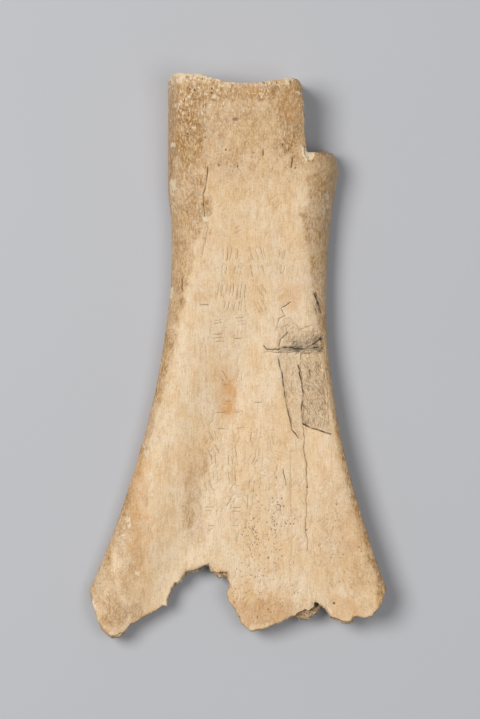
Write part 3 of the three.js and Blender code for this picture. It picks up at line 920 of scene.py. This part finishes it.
def rear(points):
    """Heights of the back and the strengths of its finish at points in plan."""
    x, y = points.T
    up = up_at(y)
    top, back = sides(x, up)
    solid = smooth((top - back) / THIN)
    back = back + solid * (0.16 * fractal(x, y, 8, 20, 90) + 0.1 * fractal(x, y, 1.8, 6, 91))
    saw = saw_height(x, y)
    spongy = smooth((saw - back - COMPACT) / COMPACT_FADE)
    pitted = spongy * clamp01(0.45 * fractal(x, y, 1.6, 2.4, 92) + 0.1)
    z = np.maximum(back, saw + pitted)
    scorch = np.zeros(len(points))
    for centre, half in hollows:
        reach = np.hypot((x - centre[0]) / half[0], (y - centre[1]) / half[1])
        dent = centre[2] + half[2] * np.sqrt(np.maximum(0, 1 - reach**2))
        z = np.where(reach < 1, np.maximum(z, dent), z)
        scorch = np.maximum(scorch, 0.75 * smooth(1.25 - reach) + 0.25 * smooth(1.9 - reach))
    left, right = insets(x, up)
    patches = 0.5 + 0.5 * fractal(x, y, 6, 14, 93)
    return z, {
        "brown": max_of([0.75 * smooth(1 - left / 5), 0.75 * smooth(1 - right / 4), 0.45 * patches]),
        "chalk": 0.42 * smooth(fractal(x, y, 7, 10, 94) * 2.4) * (1 - 0.7 * spongy),
        "orange": 0.4 * smooth(fractal(x, y, 9, 16, 95) * 2),
        "soot": scorch * (0.7 + 0.3 * noise(x, y, 2, 2, 96)),
        "spongy": spongy,
    }


# Points of the two sheets, dense where the surface turns or is marked.
def grid(spacing):
    """A triangular grid of points inside the outline, slightly shaken."""
    low, high = outline.min(0), outline.max(0)
    rows = np.arange(low[1], high[1], spacing * GRID_ROW)
    x, y = np.meshgrid(np.arange(low[0], high[0], spacing), rows)
    x = x + (np.arange(len(rows)) % 2)[:, None] * spacing / 2
    points = np.column_stack([x.ravel(), y.ravel()])
    draw = np.random.RandomState(SEED + 3)
    points = points + draw.uniform(-GRID_SHAKE, GRID_SHAKE, points.shape) * spacing
    return points[inside(points, outline)]


def roll_rows(power, shares):
    """Rows of points beside the two borders, at even steps down their roll."""
    rows = []
    for border, side, profile, run in (
        (left_border, 1, ROLL_LEFT, runs[0]),
        (right_border, -1, ROLL_RIGHT, runs[2]),
    ):
        y = run.path[1:-1, 1]
        up = up_at(y)
        for share in shares:
            inset = along(profile, up) * (1 - (1 - share ** power(up)) ** (1 / power(up)))
            rows.append(np.column_stack([border(up) + side * inset, y]))
    return np.vstack(rows)


def beside(path, offsets):
    across = sideways(path)
    return np.vstack([path + across * offset for offset in offsets])


def ring(centre, half, share, count):
    """Points round an ellipse at a share of its half sizes."""
    turn = np.linspace(0, 2 * np.pi, count + 1)[:-1]
    return np.column_stack([np.cos(turn) * half[0], np.sin(turn) * half[1]]) * share + centre


def thinned(start, groups):
    """The start and the groups in turn, without points nearer than their gap to one already kept."""
    kept, cells = [], {}
    for points, gap in [(start, 0), *groups]:
        for x, y in points:
            i, j = int(x // CELL), int(y // CELL)
            around = [cells.get((a, b), ()) for a in (i - 1, i, i + 1) for b in (j - 1, j, j + 1)]
            if gap and any((x - p) ** 2 + (y - q) ** 2 < gap * gap for near in around for p, q in near):
                continue
            kept.append((x, y))
            cells.setdefault((i, j), []).append((x, y))
    return np.array(kept)


def sheet(rim_points, groups):
    """Plan points and triangles of a sheet that fills an outline. Its outline points come first."""
    groups = [(points[inside(points, rim_points)], gap) for points, gap in groups]
    points = thinned(rim_points, groups)
    count = len(rim_points)
    edges = [(i, (i + 1) % count) for i in range(count)]
    found, _, triangles, origins, _, _ = delaunay_2d_cdt(
        [Vector(p) for p in points], edges, [], 1, 1e-7
    )
    source = np.array([origin[0] if origin else -1 for origin in origins])
    if len(found) != len(points) or (source < 0).any():
        raise ValueError("the sheet's points were merged")
    return points, source[np.array(triangles)]


def front_power(up):
    return np.full_like(up, ROUND_SIDE)


TOP_SHARES = (0.12, 0.25, 0.4, 0.55, 0.7, 0.82, 0.92, 0.985)
BACK_SHARES = (0.15, 0.3, 0.44, 0.57, 0.68, 0.78, 0.87, 0.94, 0.985)
PORE_SHARES = (0, 0.6, PORE_REACH)
HOLLOW_SHARES, HOLLOW_STEP = (0.2, 0.45, 0.66, 0.82, 0.93, 0.99, 1.03), 1.2
CLIFF_OFFSETS, SOCKET_OFFSETS, BACK_OFFSETS = (-0.12, 0.24), (0.35, 0.9), (0.5, 1.2)
BREAK_OFFSETS = (0.35, 0.8, 1.3, 1.9, 2.6)
ROUGH = 0.75
SAW_MARGIN = 0.6


def front_groups():
    marked = []
    for line in lines:
        path = resampled(line.path, LINE_STEP)
        marked += [path, beside(path, (-LINE_REACH * line.half_width, LINE_REACH * line.half_width))]
    holes = [
        ring((pit.x, pit.y), (pit.half_x, pit.half_y), share, 8 if share else 1)
        for pit in pits
        for share in PORE_SHARES
    ]
    cliffs = [beside(polygon, CLIFF_OFFSETS) for polygon, _ in flakes]
    coarse, fine = grid(FRONT_GRID), grid(FRONT_FINE_GRID)
    return [
        (roll_rows(front_power, TOP_SHARES), 0),
        (np.vstack(marked), 0.15),
        (np.vstack(holes), 0.16),
        (np.vstack(cliffs), 0.18),
        (beside(socket_path, SOCKET_OFFSETS), 0.3),
        (beside(broken_path, BREAK_OFFSETS), 0.3),
        (fine[roughness(fine) > ROUGH], 0.42),
        (coarse, 0.66),
    ]


def back_groups():
    rings = [
        ring(centre[:2], half, share, max(8, round(2 * np.pi * share * half[1] / HOLLOW_STEP)))
        for centre, half in hollows
        for share in HOLLOW_SHARES
    ]
    fine = grid(SAWN_GRID)
    x, y = fine.T
    near_saw = saw_height(x, y) - sides(x, up_at(y))[1] > -SAW_MARGIN
    return [
        (roll_rows(back_power, BACK_SHARES), 0),
        (np.vstack(rings), 0.3),
        (beside(socket_path, BACK_OFFSETS), 0.4),
        (beside(broken_path, BACK_OFFSETS), 0.4),
        (fine[near_saw], 0.6),
        (grid(BACK_GRID), 1.1),
    ]


# The cut faces, in millimetres: their compact skin and how it gives way to the spongy core, how far the
# break leans in and is torn, and how far a sawn face is. The half socket shows hardly any core.
WALL_SKIN, WALL_FADE = 0.7, 0.8
BREAK_LEAN, BREAK_TORN, SAWN_TORN = 1.2, 1.1, 0.28
DISH_CORE = 0.1


def wall_rows(upper, lower):
    """Points down the cut faces from the rib side's outline to the back's, with their finish."""
    run = np.concatenate([[0], np.cumsum(np.hypot(*np.diff(upper[:, :2], axis=0).T))])
    inward = sideways(outline)
    on_break = distance_to(outline, broken_path) < TOUCHING
    height = upper[:, 2] - lower[:, 2]
    rows = []
    for k in range(1, WALL_ROWS):
        t = (1 - np.cos(np.pi * k / WALL_ROWS)) / 2
        x, z = mix(upper[:, 0], lower[:, 0], t), mix(upper[:, 2], lower[:, 2], t)
        hollowed = dish_y(x, z)
        in_dish = (hollowed < outline[:, 1]) & ~on_break
        y = np.where(on_break, outline[:, 1], np.minimum(outline[:, 1], hollowed))
        skin = np.minimum(t, 1 - t) * height
        core = smooth((skin - WALL_SKIN) / WALL_FADE) * np.where(in_dish, DISH_CORE, 1)
        sponge = fractal(run, z, 1.7, 1.5, 101, 2)
        lean = BREAK_LEAN * clamp01(noise(run, 0 * z, 9, 9, 100) + 0.5) * np.sin(np.pi * t)
        torn = np.where(on_break, BREAK_TORN, SAWN_TORN) * core * (0.2 + sponge)
        place = np.column_stack([x, y, z])
        push = clamp01(height / 3) * (np.where(on_break, lean, 0) + torn)
        place[:, :2] += inward * push[:, None]
        rows.append((place, {
            "brown": np.where(in_dish, 0.35, 0.35 + 0.3 * noise(run, z, 5, 3, 102)),
            "chalk": np.where(in_dish, 0.4, 0.25) * (1 + noise(run, z, 4, 3, 103)),
            "orange": 0.15,
            "soot": np.where(on_break, 0.4, 0.1) * core * clamp01(0.4 + noise(run, z, 3, 2, 104)),
            "spongy": core,
            "line": 0.5 * core * clamp01(sponge * 1.6),
        }))
    return rows


def warped(vertices):
    """Slow wander of the whole bone, so that no edge is as true as a drawn one."""
    x, y, z = vertices.T
    lift = clamp01(z / 3)
    return np.column_stack([
        x + 0.25 * fractal(y, z, 15, 9, 110),
        y + 0.15 * fractal(x, z, 9, 7, 111),
        z + lift * 0.12 * fractal(x, y, 12, 16, 112),
    ])


def bone_mesh():
    count = len(outline)
    x, up = outline[:, 0], up_at(outline[:, 1])
    border_height = face(x, up) - thickness(x, up) * along(OVER_WIDEST, up)

    # The half socket draws the end back, more at mid height than at the two sides.
    cut_by_dish = vertex_is_cut & (outline[:, 1] > y_at(CORNER_UP) + SOCKET_ROUND)

    def drawn_back(height):
        reach = np.minimum(outline[:, 1], dish_y(x, height))
        return np.column_stack([x, np.where(cut_by_dish, reach, outline[:, 1])])

    top_outline = outline
    for _ in range(3):
        top_outline = drawn_back(front(top_outline)[0])
    top_plan, top_triangles = sheet(top_outline, front_groups())
    back_plan, back_triangles = sheet(drawn_back(0 * up), back_groups())
    top_z, top_finish = front(top_plan)
    back_z, back_finish = rear(back_plan)
    top_z[:count] = np.where(vertex_is_cut, top_z[:count], border_height)
    upper, lower = np.column_stack([top_plan, top_z]), np.column_stack([back_plan, back_z])

    # The rib side, the rows down the cut faces and the back, joined along the borders.
    parts = [(upper, top_finish), *wall_rows(upper[:count], lower[:count]), (lower, back_finish)]
    starts = np.cumsum([0] + [len(places) for places, _ in parts])
    rings = [
        np.where(vertex_is_cut | (k == 0), start + np.arange(count), np.arange(count))
        for k, start in enumerate(starts[:-1])
    ]
    back_index = np.arange(len(lower)) + starts[-2]
    back_index[:count] = rings[-1]
    faces = [top_triangles, back_index[back_triangles][:, ::-1]]
    here = np.flatnonzero(edge_is_cut)
    after = (here + 1) % count
    for higher, deeper in zip(rings[:-1], rings[1:]):
        faces.append(np.column_stack([higher[here], higher[after], deeper[after]]))
        faces.append(np.column_stack([higher[here], deeper[after], deeper[here]]))
    faces = np.vstack(faces)
    a, b, c = faces.T
    faces = faces[(a != b) & (b != c) & (c != a)]
    used, faces = np.unique(faces, return_inverse=True)
    vertices = warped(np.vstack([places for places, _ in parts])) * MM

    mesh = bpy.data.meshes.new("ox_scapula_bone")
    mesh.from_pydata(vertices[used].tolist(), [], faces.reshape(-1, 3).tolist())
    for name in top_finish:
        values = [np.broadcast_to(finish.get(name, 0), len(places)) for places, finish in parts]
        attribute = mesh.attributes.new(name, "FLOAT", "POINT")
        attribute.data.foreach_set("value", clamp01(np.concatenate(values)[used]).astype(np.float32))
    mesh.shade_smooth()
    mesh.set_sharp_from_angle(angle=np.radians(SHARP_ANGLE))
    return mesh


low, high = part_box("ox_scapula")
MM = (high.y - low.y) / LENGTH


# Materials.
def linear(red, green, blue):
    """A colour given as the screen shows it, from 0 to 255, as the shader takes it."""
    share = np.array([red, green, blue]) / 255
    value = np.where(share <= 0.04045, share / 12.92, ((share + 0.055) / 1.055) ** 2.4)
    return (*value.tolist(), 1)


class Shader:
    """A material's node tree, with short calls for the nodes it needs."""

    def __init__(self, name):
        self.material = bpy.data.materials.new(name)
        self.material.use_nodes = True
        self.tree = self.material.node_tree
        self.place = self.add("TexCoord", "Object", {})

    def fill(self, node, inputs):
        for name, value in inputs.items():
            if isinstance(value, bpy.types.NodeSocket):
                self.tree.links.new(value, node.inputs[name])
            else:
                node.inputs[name].default_value = value

    def add(self, kind, output, inputs, **settings):
        """The output of a new node with these settings and inputs."""
        node = self.tree.nodes.new("ShaderNode" + kind)
        for name, value in settings.items():
            setattr(node, name, value)
        self.fill(node, inputs)
        return node.outputs[output]

    def strength(self, name):
        return self.add("Attribute", "Fac", {}, attribute_name=name)

    def pattern(self, kind, output, size, **inputs):
        """A pattern whose patches are this many millimetres along each axis."""
        scale = [1 / (MM * length) for length in size]
        place = self.add("Mapping", "Vector", {"Vector": self.place, "Scale": scale})
        return self.add(kind, output, {"Vector": place, "Scale": 1, **inputs})

    def noise(self, size, detail, roughness):
        return self.pattern("TexNoise", "Fac", size, Detail=detail, Roughness=roughness)

    def span(self, value, low, high, to_low=0, to_high=1):
        ends = {"From Min": low, "From Max": high, "To Min": to_low, "To Max": to_high}
        return self.add("MapRange", "Result", {"Value": value, **ends})

    def times(self, first, second):
        return self.add("Math", "Value", {0: first, 1: second}, operation="MULTIPLY")

    def plus(self, first, second):
        return self.add("Math", "Value", {0: first, 1: second}, operation="ADD")

    def blend(self, strength, first, second):
        inputs = {"Factor": strength, "A": first, "B": second}
        return self.add("Mix", "Result", inputs, data_type="RGBA")

    def finished(self, inputs):
        self.fill(self.tree.nodes["Principled BSDF"], inputs)
        return self.material


def bone_material():
    shader = Shader("aged_bone")
    times, plus, span, blend = shader.times, shader.plus, shader.span, shader.blend
    grain = shader.noise((0.7, 1, 0.7), 3, 0.65)
    fibres = shader.noise((0.5, 5, 1.4), 2, 0.6)
    streaks = shader.noise((1.6, 9, 3), 3, 0.6)
    mottle = shader.noise((4, 6.5, 4), 6, 0.7)
    patches = shader.noise((13, 24, 13), 5, 0.62)
    clouds = shader.noise((40, 70, 40), 2, 0.5)
    flecks = shader.noise((0.9, 2.2, 0.9), 3, 0.65)
    specks = shader.noise((0.8, 0.9, 0.8), 1, 0.5)
    cells = shader.pattern("TexVoronoi", "Distance", (0.9, 1.2, 0.9))
    brown, chalk = shader.strength("brown"), shader.strength("chalk")
    scraped, spongy = shader.strength("scraped"), shader.strength("spongy")

    # The bone's own tones, each as its pattern goes from the first number to the second.
    rough_here = span(brown, 0, 0.7, 0.62, 1.25)
    colour = blend(span(clouds, 0.4, 0.6), linear(230, 204, 168), linear(228, 197, 156))
    for pattern, none, full, strength, tone in (
        (patches, 0.5, 0.6, 0.6, (226, 188, 138)),
        (patches, 0.47, 0.4, 0.5, (232, 208, 178)),
        (mottle, 0.52, 0.6, 0.45, (213, 173, 124)),
        (mottle, 0.46, 0.38, 0.4, (240, 217, 184)),
        (streaks, 0.55, 0.65, 0.25, (190, 150, 106)),
        (fibres, 0.55, 0.64, 0.28, (184, 146, 104)),
        (fibres, 0.45, 0.36, 0.28, (243, 222, 192)),
        (grain, 0.54, 0.64, times(rough_here, 0.4), (180, 140, 96)),
        (grain, 0.46, 0.36, times(rough_here, 0.4), (243, 223, 194)),
        (specks, 0.66, 0.7, times(rough_here, 0.45), (138, 102, 68)),
    ):
        colour = blend(times(span(pattern, none, full), strength), colour, linear(*tone))

    # What lies over them: brown soil, which in places is painted shade of the rolled borders and the
    # valley, and its pale flecks, orange, scraped and spongy bone, chalk and soot, then the dark lines,
    # which at the flakes' edges are partly painted shadow.
    patchy = plus(span(mottle, 0.4, 0.6, 0.7, 1.15), span(grain, 0.4, 0.6, -0.15, 0.15))
    earth_and_shade = blend(span(flecks, 0.44, 0.56), linear(150, 108, 60), linear(194, 149, 90))
    dug = blend(span(grain, 0.4, 0.62), linear(214, 184, 144), linear(156, 128, 94))
    open_bone = blend(span(grain, 0.35, 0.65), linear(200, 172, 134), linear(146, 120, 88))
    ragged_chalk = plus(chalk, span(flecks, 0.35, 0.65, -0.3, 0.3))
    for strength, layer in (
        (times(brown, patchy), earth_and_shade),
        (times(times(brown, span(flecks, 0.57, 0.61)), 0.75), linear(227, 198, 158)),
        (times(shader.strength("orange"), patchy), linear(208, 156, 98)),
        (times(scraped, 0.7), dug),
        (times(spongy, 0.85), open_bone),
        (times(spongy, span(cells, 0.42, 0.2, 0, 0.85)), linear(84, 68, 52)),
        (times(span(ragged_chalk, 0.35, 0.6), 0.9), linear(234, 212, 179)),
        (times(shader.strength("soot"), span(grain, 0.35, 0.62, 0.3, 1)), linear(84, 74, 64)),
        (shader.strength("line"), linear(62, 50, 40)),
    ):
        colour = blend(strength, colour, layer)

    rough = plus(span(patches, 0.3, 0.7, 0.48, 0.6), times(chalk, 0.2))
    height = plus(times(mottle, 0.8), times(grain, plus(0.4, brown)))
    height = plus(height, times(times(cells, spongy), 1.6))
    height = plus(height, times(times(flecks, scraped), 1.4))
    relief = {"Strength": 0.8, "Distance": 0.3 * MM, "Height": height}
    return shader.finished({
        "Base Color": colour,
        "Roughness": plus(rough, times(spongy, 0.25)),
        "Specular IOR Level": 0.35,
        "Normal": shader.add("Bump", "Normal", relief),
    })


def floor_material():
    shader = Shader("pale_floor")
    tone = shader.noise((180, 180, 180), 2, 0.5)
    colour = shader.blend(tone, linear(188, 189, 193), linear(191, 192, 196))
    return shader.finished({"Base Color": colour, "Roughness": 0.9})


def placed(name, data):
    """A new object of the scene."""
    thing = bpy.data.objects.new(name, data)
    bpy.context.scene.collection.objects.link(thing)
    return thing


# The bone takes the CAD node's place.
bone = placed("bone", bone_mesh())
bone.data.materials.append(bone_material())
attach(bone, "root")
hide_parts("ox_scapula")

# Stage: a plain pale floor under a large soft key from the upper left and a weak fill.
FLOOR_HALF = 3
floor_mesh = bpy.data.meshes.new("floor")
corners = [(x * FLOOR_HALF, y * FLOOR_HALF, 0) for x, y in ((-1, -1), (1, -1), (1, 1), (-1, 1))]
floor_mesh.from_pydata(corners, [], [(0, 1, 2, 3)])
floor_mesh.materials.append(floor_material())
placed("floor", floor_mesh)


def area_light(name, place, size, power, colour):
    """A round soft light that looks at the bone."""
    data = bpy.data.lights.new(name, "AREA")
    data.shape, data.size, data.energy, data.color = "DISK", size, power, colour
    light = placed(name, data)
    light.location = place
    light.rotation_euler = (-Vector(place)).to_track_quat("-Z", "Y").to_euler()


area_light("key", place=(-0.93, 0.38, 1.8), size=1.08, power=31.5, colour=(1, 0.985, 0.965))
area_light("fill", place=(0.62, -0.1, 1.8), size=1, power=8.7, colour=(0.97, 0.985, 1))

world = bpy.data.worlds.new("studio")
world.use_nodes = True
sky = world.node_tree.nodes["Background"].inputs
sky["Color"].default_value, sky["Strength"].default_value = (0.94, 0.97, 1, 1), 0.18
bpy.context.scene.world = world
bpy.context.scene.view_settings.view_transform = "Standard"

# The camera looks straight down, with the bone's long axis up the picture. The pixels were measured
# at this height of the rib side, in millimetres.
CAMERA_HEIGHT = 2.1
SENSOR = 36
MEASURED_AT = 16
camera_data = bpy.data.cameras.new("camera")
camera = placed("camera", camera_data)
centre = plan([(PHOTO_WIDTH / 2, PHOTO_HEIGHT / 2)])[0] * MM
camera.location = (centre[0], centre[1], CAMERA_HEIGHT)
camera_data.sensor_width = SENSOR
camera_data.lens = SENSOR * (CAMERA_HEIGHT - MEASURED_AT * MM) / (PHOTO_HEIGHT * PIXEL * MM)
bpy.context.scene.camera = camera
